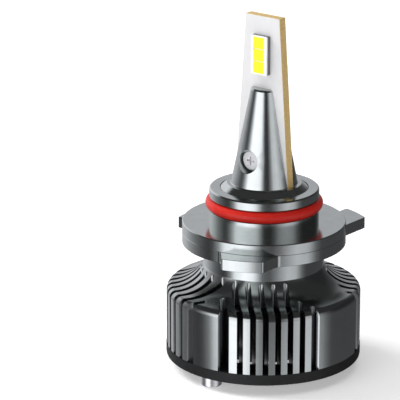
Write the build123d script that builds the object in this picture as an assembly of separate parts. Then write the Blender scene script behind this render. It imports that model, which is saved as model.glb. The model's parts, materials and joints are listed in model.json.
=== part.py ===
"""LED headlight bulb with a 20 mm collar, a finned heatsink and a built-in fan.

Frame: +Z runs along the bulb's axis towards the LED tip. The origin is on that
axis, in the plane of the flange's seating face. The LED board lies in the XZ
plane, so that the LEDs face -Y and +Y. All lengths are in millimetres.
"""
from build123d import *
from math import asin, cos, hypot, radians, sin, sqrt
import os

# ---- LED board ----
board_top_z = 38.2
board_top_width = 7.6
board_foot_width = 12.0
board_core = 1.6             # copper thickness
mask_thick = 0.06            # white solder mask on each face
mask_margin = 0.06           # bare copper left round the mask's edge
board_tail_width = 8.4
board_tail_top_z = 4.3
board_tail_z = -7.6
led_width, led_height = 3.6, 7.1
led_mid_z = 31.2
led_base_thick, led_frame_thick = 0.8, 0.25
led_corner = 0.12
phosphor_width, phosphor_height, phosphor_gap = 2.4, 6.6, 0.16
phosphor_depth, phosphor_sink = 0.12, 0.02
phosphor_count = 3

# ---- half-cone clamps ----
cone_foot_r, cone_foot_z = 6.05, 7.2
cone_tip_r, cone_tip_z = 2.5, 25.0
cone_tip_round = 0.6
cone_foot_round = 0.2
disc_r, disc_z = 7.95, 1.5   # the disc runs from disc_z up to cone_foot_z
disc_top_r, disc_rim_z = 6.8, 6.25
parting_gap = 0.06           # each half stands this far off the parting plane, beside the board
stub_r, stub_z = 5.0, -4.0   # part of the clamp held in the spigot's bore
clamp_screw_z = 12.1
clamp_screw_face_y = 4.05    # distance of the head's face from the board's plane
clamp_head_r, clamp_head_high = 1.85, 0.95
clamp_head_bore_r = 2.1
screw_r = 1.0                # M2 thread
clearance_r = 1.1            # clearance hole for M2

# ---- collar ----
collar_r = 10.0
collar_top_z = 6.3
collar_edge = 0.25           # chamfer round the band's top
flange_edge, seam_edge = 0.15, 0.05
collar_bore_r = 8.05
groove_top_z, groove_low_z, groove_floor_r = 4.7, 2.3, 8.55
ring_section_r, ring_mid_z = 1.08, 3.43
lip_top_z = 1.4
turning_bore_r = 6.5
sleeve_r = 8.9               # the lug plate is pressed onto this sleeve
flange_r = 14.93
flange_low_z = -2.0
lug_plate_low_z = -4.1
# (low X at the root, low X at the tip, high X, outer radius, side of the board) of the two side lugs
side_lugs = [(1.8, 4.2, 11.1, 18.2, -1), (4.0, 4.0, 9.9, 20.3, 1)]
lug_flare_y = 14.8, 17.6     # a flared side runs between these distances from the board's plane
lug_back_half, lug_back_r = 4.0, 17.4
lug_root_round, lug_tip_round, lug_edge = 1.15, 0.5, 0.06

# ---- heatsink ----
neck_r, neck_top_z, neck_low_z = 11.0, -4.2, -8.2
spigot_r = 6.45
wall_r, wall_top_z, wall_low_z = 17.8, -13.4, -23.5
shoulder_round = 1.3
shoulder_mid = 13.3, -10.95  # radius and height half-way along the hollow curve
plenum_r, ceiling_z = 13.2, -13.5
driver_bore_r, driver_roof_z = 8.8, -5.5
slot_pitch, slot_width = 2.23, 1.06
slot_long_r = 11.2           # inner ends of the long slots, just outside the neck
slot_edge_chamfer = 0.55
# Each slot is (distance from its group's axis, width, radius of its inner end).
front_slots = [(-9.25, 1.4, 13.8), *[(k * slot_pitch, slot_width, slot_long_r) for k in range(-3, 2)],
               (2 * slot_pitch, slot_width, 13.9), (3 * slot_pitch, slot_width, 15.7)]
back_slots = [(-3.5 * slot_pitch, slot_width, 14.0),
              *[((k + 0.5) * slot_pitch, slot_width, slot_long_r) for k in range(-3, 4)],
              (4.5 * slot_pitch, slot_width, 15.2)]


def mirrored(slots):
    """The same group of slots for the other side of the XZ plane."""
    return [(-at, width, end) for at, width, end in reversed(slots)]


# (direction of the group, its slots in order across)
slot_groups = [(-43.3, front_slots), (43.3, mirrored(front_slots)),
               (-135, back_slots), (135, mirrored(back_slots))]

# ---- driver ----
driver_board_r, driver_board_z, driver_board_thick = 8.6, -8.7, 1.0
driver_cover_thick = 0.8

# ---- base cover and its screws ----
cover_r, cover_low_z, cover_bore_r = 17.87, -25.6, 12.4
cover_edge_round = 0.5
cover_screw_y = 15.1
cap_head_r, cap_head_high = 1.9, 2.0
cover_screw_top_z = -19.0
hex_flats, hex_depth = 1.5, 1.0

# ---- lead grommet, through the wall on -X ----
grommet_z = -18.0
grommet_bore_r, grommet_sleeve_r, grommet_flange_r = 1.5, 2.1, 2.8
grommet_seat_x, grommet_face_x = -17.3, -18.1

# ---- fan ----
blade_count = 7
hub_r, hub_wall, hub_low_z, hub_top_z = 7.95, 0.75, -25.0, -17.2
blade_tip_r, blade_low_z, blade_top_z = 11.85, -24.7, -18.4
blade_sweep, blade_thick = 40.0, 0.55
frame_top_z, frame_plate_thick, frame_ring_high = -14.1, 1.0, 1.3
frame_plate_r, frame_ring_r, frame_arm_width, frame_arm_count = 7.2, 12.5, 1.6, 4
tube_r, tube_bore_r, tube_low_z = 2.2, 1.5, -22.4
shaft_r, bearing_bore_r = 0.75, 0.79
clip_r, clip_thick = 1.35, 0.3
yoke_out_r, yoke_in_r = 7.2, 6.6
magnet_in_r, magnet_low_z, magnet_top_z = 5.7, -22.4, -17.5
fan_board_r, fan_board_thick = 6.7, 0.8
stator_r, stator_low_z, stator_top_z = 5.2, -21.4, -18.0
stator_arm_width, stator_shoe, stator_arms = 1.5, 0.8, 4


def turned(*points):
    """Solid of revolution about Z of a closed (radius, z) outline."""
    return revolve(Plane.XZ * make_face(Polyline(*points, close=True)), Axis.Z)


def rod(radius, low_z, high_z, x=0, y=0):
    """Upright round bar between two heights."""
    return Pos(x, y, (low_z + high_z) / 2) * Cylinder(radius, high_z - low_z)


def pipe(outer_r, inner_r, low_z, high_z):
    """Upright tube between two heights."""
    return rod(outer_r, low_z, high_z) - rod(inner_r, low_z, high_z)


def rod_y(radius, low_y, high_y, z):
    """Round bar along Y at a height."""
    return Pos(0, (low_y + high_y) / 2, z) * Rot(90, 0, 0) * Cylinder(radius, high_y - low_y)


def rod_x(radius, low_x, high_x, z):
    """Round bar along X at a height."""
    return Pos((low_x + high_x) / 2, 0, z) * Rot(0, 90, 0) * Cylinder(radius, high_x - low_x)


def slab(low, high):
    """Box between two corners."""
    size = [b - a for a, b in zip(low, high)]
    return Pos(*[(a + b) / 2 for a, b in zip(low, high)]) * Box(*size)


# ---- LED board ----
def board_outline(thick, margin=0.0):
    """The tapered blade of the board, centred on the XZ plane, from the clamp's disc up."""
    top, foot = board_top_width / 2 - margin, board_foot_width / 2 - margin
    points = [(-foot, cone_foot_z), (foot, cone_foot_z),
              (top, board_top_z - margin), (-top, board_top_z - margin)]
    face = Plane.XZ * make_face(Polyline(*points, close=True))
    return extrude(face, thick / 2, both=True)


def board_foot(thick, spare=0.0):
    """The board's lower end, which stands in the clamp's disc and stub."""
    foot, tail = board_foot_width / 2 + spare, board_tail_width / 2 + spare
    return (slab((-foot, -thick / 2, board_tail_top_z), (foot, thick / 2, cone_foot_z))
            + slab((-tail, -thick / 2, board_tail_z), (tail, thick / 2, board_tail_top_z)))


def copper_board():
    hole = rod_y(clearance_r, -board_core, board_core, clamp_screw_z)
    return board_outline(board_core) + board_foot(board_core) - hole


def solder_mask(side):
    """White coat on one face of the board; side is -1 for -Y and +1 for +Y."""
    coat = board_outline(board_core + 2 * mask_thick, mask_margin)
    near, far = sorted((side * board_core / 2, side * (board_core / 2 + mask_thick)))
    keep = slab((-board_foot_width, near, cone_foot_z), (board_foot_width, far, board_top_z))
    return coat & keep - rod_y(clearance_r, -board_core, board_core, clamp_screw_z)


def board_face_y():
    return board_core / 2 + mask_thick


def led_block(low_y, high_y):
    """Block of the LED package's outline between two distances from the board's plane."""
    half_w, half_h = led_width / 2, led_height / 2
    block = slab((-half_w, low_y, led_mid_z - half_h), (half_w, high_y, led_mid_z + half_h))
    return chamfer(block.edges().filter_by(Axis.Y), led_corner)


def led_base(side):
    """Ceramic body of the package."""
    near = board_face_y()
    base = led_block(near, near + led_base_thick)
    return base if side > 0 else mirror(base, Plane.XZ)


def led_face_y():
    return board_face_y() + led_base_thick + led_frame_thick


def led_frame(side):
    """White frame on the ceramic body, with a shallow window for the phosphor."""
    far = led_face_y()
    window = slab((-phosphor_width / 2, far - phosphor_depth, led_mid_z - phosphor_height / 2),
                  (phosphor_width / 2, far + 1, led_mid_z + phosphor_height / 2))
    frame = led_block(far - led_frame_thick, far) - window
    return frame if side > 0 else mirror(frame, Plane.XZ)


def phosphor(side):
    """Phosphor tiles, one above the other in the frame's window."""
    far = led_face_y()
    tile = (phosphor_height - (phosphor_count - 1) * phosphor_gap) / phosphor_count
    low = led_mid_z - phosphor_height / 2
    tiles = []
    for i in range(phosphor_count):
        z = low + i * (tile + phosphor_gap)
        tiles.append(slab((-phosphor_width / 2, far - phosphor_depth, z),
                          (phosphor_width / 2, far - phosphor_sink, z + tile)))
    group = Compound(children=tiles)
    return group if side > 0 else mirror(group, Plane.XZ)


# ---- half-cone clamps ----
def clamp_body():
    """Both clamp halves as one turned piece: stub, disc and cone."""
    body = turned((0, stub_z), (stub_r, stub_z), (stub_r, disc_z), (disc_r, disc_z),
                  (disc_r, disc_rim_z), (disc_top_r, cone_foot_z),
                  (cone_foot_r, cone_foot_z), (cone_tip_r, cone_tip_z), (0, cone_tip_z))
    circles = body.edges().filter_by(GeomType.CIRCLE).group_by(Axis.Z)
    body = fillet(circles[-1], cone_tip_round)
    foot = body.edges().filter_by(GeomType.CIRCLE).filter_by(
        lambda edge: abs(edge.radius - cone_foot_r) < 0.01)
    return fillet(foot, cone_foot_round)


def clamp_half(side):
    """One half of the clamp, relieved for the board and bored for the screw."""
    far = 2 * disc_r
    near, deep = sorted((side * parting_gap, side * far))
    half = clamp_body() & slab((-far, near, stub_z), (far, deep, cone_tip_z))
    thick = board_core + 2 * mask_thick
    above = slab((-far, -thick / 2, cone_foot_z), (far, thick / 2, cone_tip_z + 1))
    half = half - above - board_foot(thick, 0.05)
    if side < 0:
        half -= rod_y(clearance_r, -far, 0, clamp_screw_z)
        return half - rod_y(clamp_head_bore_r, -far, clamp_head_high - clamp_screw_face_y, clamp_screw_z)
    return half - rod_y(screw_r, 0, 3.6, clamp_screw_z)


def clamp_screw():
    """Pan-head cross-recess screw that pulls the halves together."""
    face, seat = -clamp_screw_face_y, clamp_head_high - clamp_screw_face_y
    head = rod_y(clamp_head_r, face, seat, clamp_screw_z)
    rim = head.edges().filter_by(GeomType.CIRCLE).sort_by(Axis.Y)[0]
    head = fillet(rim, 0.3)
    shank = rod_y(screw_r, seat, 3.4, clamp_screw_z)
    reach, half, depth = 0.85, 0.19, 0.55
    cross = (slab((-reach, face - 1, clamp_screw_z - half), (reach, face + depth, clamp_screw_z + half))
             + slab((-half, face - 1, clamp_screw_z - reach), (half, face + depth, clamp_screw_z + reach)))
    return head + shank - cross


# ---- collar ----
def collar():
    """Band, O-ring groove, neck and upper flange, with a sleeve for the lug plate."""
    return turned((turning_bore_r, lug_plate_low_z), (sleeve_r, lug_plate_low_z), (sleeve_r, flange_low_z),
                  (flange_r - seam_edge, flange_low_z), (flange_r, flange_low_z + seam_edge),
                  (flange_r, -flange_edge), (flange_r - flange_edge, 0), (collar_r, 0),
                  (collar_r, groove_low_z), (groove_floor_r, groove_low_z),
                  (groove_floor_r, groove_top_z), (collar_r, groove_top_z),
                  (collar_r, collar_top_z - collar_edge), (collar_r - collar_edge, collar_top_z),
                  (collar_bore_r, collar_top_z), (collar_bore_r, lip_top_z), (turning_bore_r, lip_top_z))


def side_lug(root_x, tip_x, high_x, reach, side):
    """Plan of a side lug: one side straight, the other flared towards the root."""
    root_y, tip_y = lug_flare_y
    far = reach + 1
    far_x = tip_x + (tip_x - root_x) / (tip_y - root_y) * (far - tip_y)
    points = [(high_x, 0), (root_x, 0), (root_x, root_y), (far_x, far), (high_x, far)]
    return make_face(Polyline(*[(x, side * y) for x, y in points], close=True)) & Circle(reach)


def upright_edges(shape, radius):
    """The shape's upright edges that stand at a distance from the axis."""
    return [edge for edge in shape.edges().filter_by(Axis.Z)
            if abs(hypot((edge @ 0.5).X, (edge @ 0.5).Y) - radius) < 0.05]


def lug_plate():
    """Lower flange layer with its three lugs: two on the sides and one at the back."""
    high = flange_low_z - lug_plate_low_z
    back = Pos(-lug_back_r / 2, 0) * Rectangle(lug_back_r, 2 * lug_back_half)
    outline = Circle(flange_r) + (back & Circle(lug_back_r))
    for lug in side_lugs:
        outline += side_lug(*lug)
    plate = Pos(0, 0, lug_plate_low_z) * extrude(outline, high)
    plate = fillet(upright_edges(plate, flange_r), lug_root_round)
    for *_, reach, _ in side_lugs:
        plate = fillet(upright_edges(plate, reach), lug_tip_round)
    edges = plate.edges().group_by(Axis.Z)
    plate = chamfer(edges[-1] + edges[0], lug_edge)
    return plate - rod(sleeve_r, lug_plate_low_z - 1, flange_low_z + 1)


def o_ring():
    return Pos(0, 0, ring_mid_z) * Torus(groove_floor_r + ring_section_r, ring_section_r)


# ---- heatsink ----
def heatsink_body():
    """Spigot, neck, hollow-curved shoulder and wall, turned in one piece."""
    crest, shoulder_end = [(wall_r - shoulder_round * (1 - cos(radians(turn))),
                            wall_top_z + shoulder_round * sin(radians(turn))) for turn in (40, 76)]
    outline = [Polyline((0, wall_low_z), (wall_r, wall_low_z), (wall_r, wall_top_z)),
               ThreePointArc((wall_r, wall_top_z), crest, shoulder_end),
               ThreePointArc(shoulder_end, shoulder_mid, (neck_r, neck_low_z)),
               Polyline((neck_r, neck_low_z), (neck_r, neck_top_z), (spigot_r, neck_top_z),
                        (spigot_r, disc_z), (0, disc_z), (0, wall_low_z))]
    return revolve(Plane.XZ * make_face(Curve() + outline), Axis.Z)


def upright_cut(direction, plan):
    """Cutter of a plan drawn for direction +X, through the wall and the shoulder."""
    return Rot(0, 0, direction) * Pos(0, 0, wall_low_z - 1) * extrude(plan, neck_low_z - wall_low_z + 2)


def slot_cutter(direction, offset, width, end_r):
    """Upright slot with a round inner end, parallel to its group's direction."""
    start, stop = sqrt(end_r ** 2 - offset ** 2) + width / 2, wall_r + 2
    plan = Pos((start + stop) / 2, offset) * Rectangle(stop - start, width)
    return upright_cut(direction, plan + Pos(start, offset) * Circle(width / 2))


def panel_edge_cutter(direction, offset, width):
    """Takes the sharp corner off a solid panel, beside the last slot of a group."""
    way = 1 if offset > 0 else -1
    side = offset + way * width / 2
    reach = sqrt(wall_r ** 2 - side ** 2)
    lean = asin(abs(side) / wall_r)
    cut = slot_edge_chamfer
    along = (reach - sin(lean) * cut, side + way * cos(lean) * cut)
    points = [(reach - cut, side), (reach + cut, side - way * 0.01), (reach + cut, side + way * cut), along]
    return upright_cut(direction, make_face(Polyline(*points, close=True)))


def heatsink():
    cutters = []
    for direction, slots in slot_groups:
        cutters += [slot_cutter(direction, *slot) for slot in slots]
        cutters += [panel_edge_cutter(direction, at, width) for at, width, _ in (slots[0], slots[-1])]
    body = heatsink_body() - cutters
    body -= rod(plenum_r, wall_low_z - 1, ceiling_z)
    body -= rod(driver_bore_r, ceiling_z - 1, driver_roof_z)
    body -= rod(stub_r, driver_roof_z - 1, disc_z + 1)
    for y in (-cover_screw_y, cover_screw_y):
        body -= rod(screw_r, wall_low_z - 1, cover_screw_top_z + 0.4, 0, y)
    body -= rod_x(grommet_sleeve_r, -wall_r - 1, -plenum_r + 2, grommet_z)
    return body - rod_x(grommet_flange_r, -wall_r - 1, grommet_seat_x, grommet_z)


# ---- driver ----
def driver_board():
    low = driver_board_z - driver_board_thick
    return rod(driver_board_r, low, driver_board_z)


def driver_inductor():
    top = driver_board_z - driver_board_thick
    core = slab((-2.6, -5.6, top - 2.4), (2.6, -0.6, top))
    return fillet(core.edges().filter_by(Axis.Z), 0.8)


def driver_capacitors():
    top = driver_board_z - driver_board_thick
    return Compound(children=[rod(1.4, top - 2.5, top, x, 3.2) for x in (-3.6, 0, 3.6)])


def driver_chips():
    """Regulator chips on the board's upper face, clear of the LED board's tail."""
    z = driver_board_z
    spots = [(-2.2, 3.8), (2.4, -4.2), (4.4, 3.6)]
    return Compound(children=[slab((x - 1.5, y - 1.2, z), (x + 1.5, y + 1.2, z + 0.9)) for x, y in spots])


def driver_cover():
    return rod(driver_bore_r, ceiling_z, ceiling_z + driver_cover_thick)


# ---- base cover ----
def base_cover():
    ring = pipe(cover_r, cover_bore_r, cover_low_z, wall_low_z)
    low_rims = ring.edges().filter_by(GeomType.CIRCLE).group_by(Axis.Z)[0].sort_by(SortBy.RADIUS)
    ring = fillet(low_rims[-1], cover_edge_round)
    for y in (-cover_screw_y, cover_screw_y):
        ring -= rod(clearance_r, cover_low_z - 1, wall_low_z + 1, 0, y)
    return ring


def cover_screw(y):
    """Socket-head cap screw, entered from below."""
    low = cover_low_z - cap_head_high
    head = rod(cap_head_r, low, cover_low_z, 0, y)
    rims = head.edges().filter_by(GeomType.CIRCLE).sort_by(Axis.Z)
    head = fillet(rims[0], 0.3)
    shank = rod(screw_r, cover_low_z, cover_screw_top_z, 0, y)
    socket = Pos(0, y, low - 1) * extrude(RegularPolygon(hex_flats / 2, 6, major_radius=False), hex_depth + 1)
    return head + shank - socket


def cover_screws():
    return Compound(children=[cover_screw(-cover_screw_y), cover_screw(cover_screw_y)])


def lead_grommet():
    sleeve = rod_x(grommet_sleeve_r, grommet_face_x, -plenum_r, grommet_z)
    flange = rod_x(grommet_flange_r, grommet_face_x, grommet_seat_x, grommet_z)
    return sleeve + flange - rod_x(grommet_bore_r, grommet_face_x - 1, -plenum_r + 1, grommet_z)


# ---- fan frame and motor ----
def fan_frame():
    """Ring pressed into the heatsink, arms, motor plate and bearing tube."""
    low = frame_top_z - frame_ring_high
    frame = pipe(plenum_r, frame_ring_r, low, frame_top_z)
    frame += rod(frame_plate_r, frame_top_z - frame_plate_thick, frame_top_z)
    reach = (frame_ring_r + plenum_r) / 2
    for i in range(frame_arm_count):
        arm = slab((frame_plate_r - 0.3, -frame_arm_width / 2, low),
                   (reach, frame_arm_width / 2, frame_top_z))
        frame += Rot(0, 0, 45 + i * 360 / frame_arm_count) * arm
    frame += rod(tube_r, tube_low_z, frame_top_z)
    return frame - rod(tube_bore_r, tube_low_z - 1, frame_top_z + 1)


def fan_bearing():
    return pipe(tube_bore_r, bearing_bore_r, tube_low_z, frame_top_z - 0.6)


def fan_board():
    top = frame_top_z - frame_plate_thick
    return pipe(fan_board_r, tube_r, top - fan_board_thick, top)


def stator_core():
    """Laminated core: a hub, four arms and a curved shoe on the end of each."""
    high = stator_top_z - stator_low_z
    plan = Circle(tube_r + 0.7)
    for i in range(stator_arms):
        plan += Rot(0, 0, i * 90) * Pos(stator_r / 2, 0) * Rectangle(stator_r, stator_arm_width)
    shoes = Circle(stator_r) - Circle(stator_r - stator_shoe)
    for i in range(stator_arms):
        shoes -= Rot(0, 0, 45 + i * 90) * Pos(stator_r / 2, 0) * Rectangle(stator_r + 2, 1.2)
    plan = (plan & Circle(stator_r - 0.2)) + shoes - Circle(tube_r)
    return Pos(0, 0, stator_low_z) * extrude(plan, high)


def stator_coils():
    """One winding round each arm of the core, as a flat ring."""
    spare, thick = 0.02, 0.45
    inner = tube_r + 0.75
    outer = stator_r - stator_shoe - 0.3
    half_w, mid_z = stator_arm_width / 2 + spare, (stator_low_z + stator_top_z) / 2
    half_h = (stator_top_z - stator_low_z) / 2 + spare
    ring = slab((inner, -half_w - thick, mid_z - half_h - thick),
                (outer, half_w + thick, mid_z + half_h + thick))
    ring -= slab((inner - 1, -half_w, mid_z - half_h), (outer + 1, half_w, mid_z + half_h))
    return Compound(children=[Rot(0, 0, i * 90) * ring for i in range(stator_arms)])


# ---- rotor ----
def blade(number):
    """Wide blade that climbs from its front edge as it goes round the hub."""
    steps = 4
    start = number * 360 / blade_count
    root_r, over_r = hub_r - 0.4, blade_tip_r + 0.6
    sections = []
    for i in range(steps + 1):
        part = i / steps
        angle = start + part * blade_sweep
        z = blade_low_z + part * (blade_top_z - blade_low_z)
        strip = Rectangle(over_r - root_r, blade_thick)
        plane = Plane(origin=(0, 0, z)) * Rot(0, 0, angle) * Pos((root_r + over_r) / 2, 0)
        sections.append(plane * strip)
    return loft(sections)


def fan_rotor():
    """Cup-shaped hub with its blades, moulded in one piece."""
    cup = rod(hub_r, hub_low_z, hub_top_z)
    rims = cup.edges().filter_by(GeomType.CIRCLE).sort_by(Axis.Z)
    cup = fillet(rims[0], 0.3)
    floor_z = hub_low_z + hub_wall
    cup -= rod(hub_r - hub_wall, floor_z, hub_top_z + 1)
    trim = pipe(blade_tip_r, hub_r - hub_wall / 2, blade_low_z, blade_top_z)
    for i in range(blade_count):
        cup += blade(i) & trim
    boss = rod(tube_bore_r + 0.5, floor_z, tube_low_z - 0.6)
    return cup + boss - rod(shaft_r, floor_z, hub_top_z)


def rotor_yoke():
    return pipe(yoke_out_r, yoke_in_r, hub_low_z + hub_wall, hub_top_z)


def rotor_magnet():
    return pipe(yoke_in_r, magnet_in_r, magnet_low_z, magnet_top_z)


def fan_shaft():
    return rod(shaft_r, hub_low_z + hub_wall, frame_top_z - 0.1)


def shaft_clip():
    """Ring on the shaft's end, just clear of the bearing."""
    low = frame_top_z - 0.5
    return pipe(clip_r, shaft_r, low, low + clip_thick)


parts = {
    "heatsink": heatsink(),
    "clamp_half_front": clamp_half(-1),
    "clamp_half_rear": clamp_half(1),
    "clamp_screw": clamp_screw(),
    "copper_board": copper_board(),
    "solder_mask_front": solder_mask(-1),
    "solder_mask_rear": solder_mask(1),
    "led_base_front": led_base(-1),
    "led_base_rear": led_base(1),
    "led_frame_front": led_frame(-1),
    "led_frame_rear": led_frame(1),
    "phosphor_front": phosphor(-1),
    "phosphor_rear": phosphor(1),
    "driver_board": driver_board(),
    "driver_inductor": driver_inductor(),
    "driver_capacitors": driver_capacitors(),
    "driver_chips": driver_chips(),
    "driver_cover": driver_cover(),
    "base_cover": base_cover(),
    "cover_screws": cover_screws(),
    "lead_grommet": lead_grommet(),
    "fan_frame": fan_frame(),
    "fan_bearing": fan_bearing(),
    "fan_board": fan_board(),
    "stator_core": stator_core(),
    "stator_coils": stator_coils(),
    "collar": collar(),
    "lug_plate": lug_plate(),
    "o_ring": o_ring(),
    "fan_rotor": fan_rotor(),
    "rotor_yoke": rotor_yoke(),
    "rotor_magnet": rotor_magnet(),
    "fan_shaft": fan_shaft(),
    "shaft_clip": shaft_clip(),
}

os.makedirs("parts", exist_ok=True)
for name, shape in parts.items():
    export_step(shape, f"parts/{name}.step")
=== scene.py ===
import json
import math

import bpy
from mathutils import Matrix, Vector


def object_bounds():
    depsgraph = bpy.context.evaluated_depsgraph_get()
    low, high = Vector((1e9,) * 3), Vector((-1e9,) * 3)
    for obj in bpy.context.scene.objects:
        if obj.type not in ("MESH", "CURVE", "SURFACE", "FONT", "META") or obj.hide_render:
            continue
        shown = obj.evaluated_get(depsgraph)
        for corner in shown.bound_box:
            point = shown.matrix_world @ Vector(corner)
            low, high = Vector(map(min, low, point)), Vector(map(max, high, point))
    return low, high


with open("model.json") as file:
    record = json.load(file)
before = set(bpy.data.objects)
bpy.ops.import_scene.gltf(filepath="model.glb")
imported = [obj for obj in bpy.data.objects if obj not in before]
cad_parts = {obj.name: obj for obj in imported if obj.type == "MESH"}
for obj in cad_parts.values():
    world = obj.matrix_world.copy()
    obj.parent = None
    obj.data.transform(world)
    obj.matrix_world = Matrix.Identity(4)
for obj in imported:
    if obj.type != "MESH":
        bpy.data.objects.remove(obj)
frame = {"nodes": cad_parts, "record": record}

CAD_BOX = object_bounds()

# ---- driving values, in metres and degrees ----
CAMERA_AZIMUTH = 38.0        # the camera stands this far round from -Y towards +X
CAMERA_DISTANCE = 0.464      # level distance from the bulb's axis
CAMERA_HEIGHT = 0.152        # above the flange's seating plane
CAMERA_PITCH = 17.73         # downwards
CAMERA_YAW = 1.44            # turned so that the bulb stands right of the middle
CAMERA_LENS = 241.2          # on a 36 mm sensor
SENSOR = 36.0                # in millimetres, like the lens
CAMERA_NEAR = 0.01           # nothing nearer to the camera than this is drawn
FLOOR_HALF = 4.0
FLOOR_GAP = 0.00002          # between the floor and the lowest screw
FLOOR_GREY = (0.92, 0.92, 0.92, 1)
FLOOR_GLOW = 0.38            # the floor is lit a little from below


# ---- small helpers for node materials ----
NOISE_RANGE = (0.3, 0.7)     # most of a noise texture's values lie between these
BROAD_DETAIL, FINE_DETAIL = 4.0, 2.0


def new_material(name):
    """Empty node material with its output and a Principled shader, already joined."""
    material = bpy.data.materials.new(name)
    material.use_nodes = True
    tree = material.node_tree
    tree.nodes.clear()
    output = tree.nodes.new("ShaderNodeOutputMaterial")
    shader = tree.nodes.new("ShaderNodeBsdfPrincipled")
    tree.links.new(shader.outputs["BSDF"], output.inputs["Surface"])
    return material, tree, shader


def object_coords(tree):
    return tree.nodes.new("ShaderNodeTexCoord").outputs["Object"]


def noise(tree, scale, detail):
    """Noise over the object's own coordinates; scale is in cells per metre."""
    texture = tree.nodes.new("ShaderNodeTexNoise")
    texture.inputs["Scale"].default_value = scale
    texture.inputs["Detail"].default_value = detail
    tree.links.new(object_coords(tree), texture.inputs["Vector"])
    return texture.outputs["Fac"]


def ramp(tree, source, low, high):
    """Colour that runs from low to high with the source."""
    node = tree.nodes.new("ShaderNodeValToRGB")
    first, last = node.color_ramp.elements
    first.position, last.position = NOISE_RANGE
    first.color, last.color = (*low, 1), (*high, 1)
    tree.links.new(source, node.inputs["Fac"])
    return node.outputs["Color"]


def spread(tree, source, low, high):
    """Number that runs from low to high with the source."""
    node = tree.nodes.new("ShaderNodeMapRange")
    node.inputs["From Min"].default_value, node.inputs["From Max"].default_value = NOISE_RANGE
    node.inputs["To Min"].default_value = low
    node.inputs["To Max"].default_value = high
    tree.links.new(source, node.inputs["Value"])
    return node.outputs["Result"]


def math_node(tree, operation, first, second=None):
    """Math node; each of its inputs is a number or another node's output."""
    node = tree.nodes.new("ShaderNodeMath")
    node.operation = operation
    for socket, value in zip(node.inputs, (first, second)):
        if hasattr(value, "links"):
            tree.links.new(value, socket)
        elif value is not None:
            socket.default_value = value
    return node.outputs[0]


def blend_colour(tree, factor, first, second):
    """The first colour where the factor is 0, the second where it is 1."""
    node = tree.nodes.new("ShaderNodeMix")
    node.data_type = "RGBA"
    tree.links.new(factor, node.inputs["Factor"])
    tree.links.new(first, node.inputs["A"])
    if hasattr(second, "links"):
        tree.links.new(second, node.inputs["B"])
    else:
        node.inputs["B"].default_value = second
    return node.outputs["Result"]


def step(tree, source, start, stop):
    """0 below start, 1 above stop."""
    node = tree.nodes.new("ShaderNodeMapRange")
    node.interpolation_type = "SMOOTHSTEP"
    node.inputs["From Min"].default_value = start
    node.inputs["From Max"].default_value = stop
    tree.links.new(source, node.inputs["Value"])
    return node.outputs["Result"]


def bump(tree, shader, source, strength, depth):
    """Relief on the shader; depth is in metres."""
    node = tree.nodes.new("ShaderNodeBump")
    node.inputs["Strength"].default_value = strength
    node.inputs["Distance"].default_value = depth
    tree.links.new(source, node.inputs["Height"])
    tree.links.new(node.outputs["Normal"], shader.inputs["Normal"])


def surface(name, low, high, rough, metallic=0.0, cells=900.0, grain=6000.0, strength=0.05,
            depth=0.00002, specular=0.5):
    """A surface whose colour and roughness vary gently, with a fine grain in relief."""
    material, tree, shader = new_material(name)
    broad = noise(tree, cells, BROAD_DETAIL)
    fine = noise(tree, grain, FINE_DETAIL)
    tree.links.new(ramp(tree, broad, low, high), shader.inputs["Base Color"])
    tree.links.new(spread(tree, fine, *rough), shader.inputs["Roughness"])
    shader.inputs["Metallic"].default_value = metallic
    shader.inputs["Specular IOR Level"].default_value = specular
    bump(tree, shader, fine, strength, depth)
    return material


# ---- materials ----
METAL_LOW, METAL_HIGH = (0.495, 0.525, 0.512), (0.535, 0.567, 0.553)
METAL_ROUGH = (0.12, 0.17)
METAL_CELLS, METAL_GRAIN = 400.0, 9000.0                    # noise cells per metre
METAL_RELIEF = {"strength": 0.03, "depth": 0.00002}
# The shoulder's darker colour is painted shade; its extra roughness is a satin finish.
SHOULDER_SHADE_COLOUR, SATIN_EXTRA = (0.39, 0.41, 0.40, 1), 0.04     # the heatsink's shoulder
# The slots' inner walls take a much darker colour as painted shade; the extra roughness makes them dull.
SLOT_SHADE_COLOUR, DULL_EXTRA = (0.16, 0.165, 0.17, 1), 0.25       # the walls inside its slots
SHOULDER_START = (0.0081, 0.0086)    # metres below the seating plane
WALL_START = (0.0130, 0.0137)
SLOT_INNER = (0.01765, 0.01745)      # radius where the outer wall gives way to the slots' walls


def gunmetal(name):
    return surface(name, METAL_LOW, METAL_HIGH, METAL_ROUGH, metallic=1.0,
                   cells=METAL_CELLS, grain=METAL_GRAIN, **METAL_RELIEF)


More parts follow.
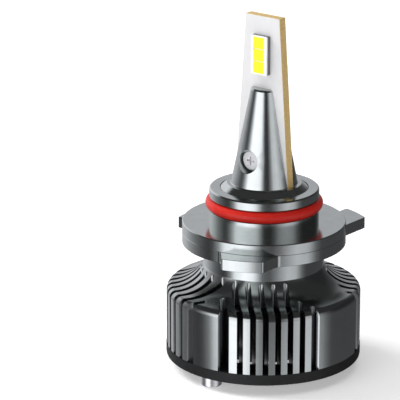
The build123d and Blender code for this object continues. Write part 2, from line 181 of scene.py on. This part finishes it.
def heatsink_metal():
    """Polished on the neck and the outer wall; on the shoulder a rougher satin finish with a darker colour of
    painted shade; inside the slots rougher still, with a much darker colour of painted shade.
    """
    material, tree, shader = new_material("heatsink_metal")
    axes = tree.nodes.new("ShaderNodeSeparateXYZ")
    tree.links.new(object_coords(tree), axes.inputs["Vector"])
    x_squared = math_node(tree, "MULTIPLY", axes.outputs["X"], axes.outputs["X"])
    y_squared = math_node(tree, "MULTIPLY", axes.outputs["Y"], axes.outputs["Y"])
    radius = math_node(tree, "SQRT", math_node(tree, "ADD", x_squared, y_squared))
    depth = math_node(tree, "MULTIPLY", axes.outputs["Z"], -1.0)
    wall = step(tree, depth, *WALL_START)
    shoulder = math_node(tree, "SUBTRACT", step(tree, depth, *SHOULDER_START), wall)
    inner = math_node(tree, "MULTIPLY", step(tree, radius, *SLOT_INNER), wall)
    broad = ramp(tree, noise(tree, METAL_CELLS, BROAD_DETAIL), METAL_LOW, METAL_HIGH)
    # painted shade: the shoulder is given a darker colour than the polished metal
    shaded_shoulder_colour = blend_colour(tree, shoulder, broad, SHOULDER_SHADE_COLOUR)
    # painted shade: the walls inside the slots are given a much darker colour
    tree.links.new(blend_colour(tree, inner, shaded_shoulder_colour, SLOT_SHADE_COLOUR), shader.inputs["Base Color"])
    fine = noise(tree, METAL_GRAIN, FINE_DETAIL)
    rough = spread(tree, fine, *METAL_ROUGH)
    rough = math_node(tree, "ADD", rough, math_node(tree, "MULTIPLY", shoulder, SATIN_EXTRA))
    rough = math_node(tree, "ADD", rough, math_node(tree, "MULTIPLY", inner, DULL_EXTRA))
    tree.links.new(rough, shader.inputs["Roughness"])
    shader.inputs["Metallic"].default_value = 1.0
    bump(tree, shader, fine, **METAL_RELIEF)
    return material


def make_materials():
    return {
        "dark_aluminium": gunmetal("dark_aluminium"),
        "heatsink_metal": heatsink_metal(),
        "screw_plating": surface("screw_plating", (0.72, 0.72, 0.73), (0.80, 0.80, 0.81), (0.24, 0.32),
                                 metallic=0.95, strength=0.06),
        "copper": surface("copper", (0.74, 0.52, 0.20), (0.90, 0.66, 0.30), (0.45, 0.6), metallic=0.25,
                          cells=2600.0, grain=9000.0, strength=0.15, specular=0.3),
        "white_mask": surface("white_mask", (0.77, 0.77, 0.775), (0.80, 0.80, 0.80), (0.35, 0.45),
                              strength=0.03),
        "led_frame": surface("led_frame", (0.90, 0.90, 0.90), (0.93, 0.93, 0.93), (0.4, 0.5)),
        "led_ceramic": surface("led_ceramic", (0.16, 0.16, 0.16), (0.20, 0.20, 0.20), (0.45, 0.55)),
        "phosphor": surface("phosphor", (0.95, 0.92, 0.01), (1.0, 0.97, 0.02), (0.35, 0.5), grain=12000.0),
        "red_rubber": surface("red_rubber", (0.57, 0.016, 0.010), (0.63, 0.022, 0.013), (0.32, 0.42),
                              specular=0.3),
        "black_plastic": surface("black_plastic", (0.010, 0.011, 0.0105), (0.014, 0.015, 0.0145), (0.5, 0.65),
                                 grain=5000.0, strength=0.25, depth=0.00004, specular=0.3),
        "steel": surface("steel", (0.84, 0.84, 0.85), (0.93, 0.93, 0.94), (0.42, 0.52), metallic=0.45,
                         strength=0.08),
        "black_rubber": surface("black_rubber", (0.018, 0.018, 0.018), (0.026, 0.026, 0.026), (0.6, 0.75)),
        "circuit_board": surface("circuit_board", (0.01, 0.07, 0.035), (0.015, 0.10, 0.05), (0.3, 0.4)),
        "ferrite": surface("ferrite", (0.05, 0.05, 0.055), (0.08, 0.08, 0.085), (0.6, 0.8)),
        "capacitor_can": surface("capacitor_can", (0.7, 0.7, 0.71), (0.78, 0.78, 0.79), (0.25, 0.35),
                                 metallic=1.0),
        "bearing_bronze": surface("bearing_bronze", (0.40, 0.25, 0.10), (0.5, 0.32, 0.14), (0.4, 0.5),
                                  metallic=1.0),
        "coil_wire": surface("coil_wire", (0.45, 0.16, 0.05), (0.6, 0.24, 0.08), (0.25, 0.4), metallic=0.9),
        "core_steel": surface("core_steel", (0.25, 0.26, 0.27), (0.35, 0.36, 0.37), (0.35, 0.5), metallic=1.0),
        "magnet": surface("magnet", (0.03, 0.03, 0.03), (0.05, 0.05, 0.05), (0.6, 0.8)),
    }


def dress_nodes(materials):
    """Each CAD node takes the material of its slot in the record, and two have a finish of their own."""
    slots = {part["node"]: part["material_slot"] for part in frame["record"]["subparts"]}
    slots["heatsink"] = "heatsink_metal"
    slots["cover_screws"] = "screw_plating"
    for node, obj in frame["nodes"].items():
        for holder in obj.material_slots or [None]:
            if holder is None:
                obj.data.materials.append(materials[slots[node]])
            else:
                holder.material = materials[slots[node]]


# ---- camera ----
def round_from_front(azimuth, distance, height):
    """Point at a level distance from the axis, azimuth degrees round from -Y towards +X."""
    turn = math.radians(azimuth)
    return Vector((distance * math.sin(turn), -distance * math.cos(turn), height))


def make_camera():
    data = bpy.data.cameras.new("camera")
    data.lens = CAMERA_LENS
    data.sensor_width = SENSOR
    data.clip_start = CAMERA_NEAR
    camera = bpy.data.objects.new("camera", data)
    camera.location = round_from_front(CAMERA_AZIMUTH, CAMERA_DISTANCE, CAMERA_HEIGHT)
    camera.rotation_euler = (math.radians(90 - CAMERA_PITCH), 0, math.radians(CAMERA_AZIMUTH + CAMERA_YAW))
    bpy.context.scene.collection.objects.link(camera)
    bpy.context.scene.camera = camera


# ---- studio ----
def make_floor():
    height = CAD_BOX[0][2] - FLOOR_GAP
    mesh = bpy.data.meshes.new("floor")
    corners = [(x, y, height) for x, y in ((-1, -1), (1, -1), (1, 1), (-1, 1))]
    mesh.from_pydata([(x * FLOOR_HALF, y * FLOOR_HALF, z) for x, y, z in corners], [], [(0, 1, 2, 3)])
    floor = bpy.data.objects.new("floor", mesh)
    bpy.context.scene.collection.objects.link(floor)
    material, _, shader = new_material("floor")
    shader.inputs["Base Color"].default_value = FLOOR_GREY
    shader.inputs["Roughness"].default_value = 0.9
    shader.inputs["Specular IOR Level"].default_value = 0.1
    shader.inputs["Emission Color"].default_value = (1, 1, 1, 1)
    shader.inputs["Emission Strength"].default_value = FLOOR_GLOW
    mesh.materials.append(material)
    floor.visible_glossy = False


def area_light(name, azimuth, distance, height, size, power):
    """Soft light aimed at the bulb; it lights the surfaces, and the studio's cards make the reflections."""
    data = bpy.data.lights.new(name, "AREA")
    data.shape = "SQUARE"
    data.size = size
    data.energy = power
    light = bpy.data.objects.new(name, data)
    light.location = round_from_front(azimuth, distance, height)
    light.rotation_euler = (-light.location).to_track_quat("-Z", "Y").to_euler()
    light.visible_glossy = False
    bpy.context.scene.collection.objects.link(light)


# Brightness of the studio's upright cards, by the angle round from the camera (right is positive),
# in three rings one above another. The heatsink's upright wall sees the lowest, softened by the floor.
FLOOR_CARDS = [(-180, 0.22), (-160, 0.32), (-140, 0.32), (-128, 0.23), (-112, 0.12), (-96, 0.06), (-84, 0.03),
               (-76, 0.04), (-66, 0.10), (-56, 0.46), (-36, 0.92), (-20, 0.78), (-10, 0.34), (-3, 0.24),
               (12, 0.22), (24, 0.42), (34, 0.38), (48, 0.46), (64, 0.46), (78, 0.15), (88, 0.05), (150, 0.04),
               (166, 0.08), (180, 0.22)]
LOW_CARDS = [(-180, 0.22), (-160, 0.32), (-140, 0.32), (-128, 0.23), (-112, 0.12), (-96, 0.06), (-84, 0.03),
             (-76, 0.05), (-66, 0.22), (-56, 0.80), (-36, 0.95), (-20, 0.78), (-10, 0.34), (-3, 0.05),
             (12, 0.015), (24, 0.08), (34, 0.24), (48, 0.40), (64, 0.34), (78, 0.09), (88, 0.04), (150, 0.04),
             (166, 0.08), (180, 0.22)]
HIGH_CARDS = [(-180, 0.30), (-168, 0.42), (-156, 0.50), (-142, 0.54), (-128, 0.44), (-112, 0.22), (-96, 0.08),
              (-88, 0.05), (-79, 0.13), (-70, 0.38), (-60, 0.90), (-48, 1.0), (-16, 0.85), (-6, 0.30), (0, 0.04),
              (14, 0.02), (24, 0.16), (33, 0.44), (48, 0.50), (62, 0.36), (74, 0.10), (86, 0.02), (134, 0.02),
              (150, 0.05), (162, 0.18), (180, 0.30)]
FLOOR_CARDS_END = (-0.360, -0.344)   # where one ring gives way to the next, as the ray's rise
LOW_CARDS_END = (-0.2, 0.02)
STUDIO_STRENGTH = 2.0
CARD_BLUE = 1.05                     # the cards are a little cool
CEILING_EDGE = (0.38, 0.52)          # how high the cards end and the dark ceiling begins, as the ray's rise
CEILING_LEAN = (0.12, 0.05)          # the ceiling comes lower on the camera's side and on its right
CEILING_COLOUR = (0.026, 0.026, 0.026, 1)


def card_ramp(tree, source, cards):
    """Colour ramp of one ring of cards."""
    node = tree.nodes.new("ShaderNodeValToRGB")
    stops = node.color_ramp.elements
    while len(stops) < len(cards):
        stops.new(0.5)
    for stop, (angle, level) in zip(stops, cards):
        stop.position = (angle + 180) / 360
        stop.color = (level, level, level * CARD_BLUE, 1)
    tree.links.new(source, node.inputs["Fac"])
    return node.outputs["Color"]


def make_studio():
    """World of soft upright cards all round, under a dark ceiling."""
    world = bpy.data.worlds.new("studio")
    bpy.context.scene.world = world
    world.use_nodes = True
    tree = world.node_tree
    tree.nodes.clear()
    coords = tree.nodes.new("ShaderNodeTexCoord")
    turn = tree.nodes.new("ShaderNodeVectorRotate")
    turn.rotation_type = "Z_AXIS"
    turn.inputs["Angle"].default_value = math.radians(90 - CAMERA_AZIMUTH)
    tree.links.new(coords.outputs["Generated"], turn.inputs["Vector"])
    axes = tree.nodes.new("ShaderNodeSeparateXYZ")
    tree.links.new(turn.outputs["Vector"], axes.inputs["Vector"])
    angle = math_node(tree, "ARCTAN2", axes.outputs["Y"], axes.outputs["X"])
    place = math_node(tree, "ADD", math_node(tree, "DIVIDE", angle, 2 * math.pi), 0.5)
    low = card_ramp(tree, place, LOW_CARDS)
    high = card_ramp(tree, place, HIGH_CARDS)
    rise = axes.outputs["Z"]
    cards = blend_colour(tree, step(tree, rise, *LOW_CARDS_END), low, high)
    cards = blend_colour(tree, step(tree, rise, *FLOOR_CARDS_END), card_ramp(tree, place, FLOOR_CARDS), cards)
    forward = math_node(tree, "MULTIPLY", axes.outputs["X"], CEILING_LEAN[0])
    sideways = math_node(tree, "MULTIPLY", axes.outputs["Y"], CEILING_LEAN[1])
    lean = math_node(tree, "ADD", rise, math_node(tree, "ADD", forward, sideways))
    cards = blend_colour(tree, step(tree, lean, *CEILING_EDGE), cards, CEILING_COLOUR)
    background = tree.nodes.new("ShaderNodeBackground")
    background.inputs["Strength"].default_value = STUDIO_STRENGTH
    tree.links.new(cards, background.inputs["Color"])
    output = tree.nodes.new("ShaderNodeOutputWorld")
    tree.links.new(background.outputs["Background"], output.inputs["Surface"])


# name, degrees round from -Y towards +X, level distance, height, size, power in watts
LIGHTS = [("key", -72, 0.6, 0.6, 0.4, 5.0),
          ("fill", -20, 1.0, 0.5, 0.9, 1.5),
          ("top", 38, 0.1, 1.0, 1.0, 4.0)]


make_camera()
make_floor()
make_studio()
for light in LIGHTS:
    area_light(*light)
dress_nodes(make_materials())
bpy.context.scene.view_settings.view_transform = "Standard"
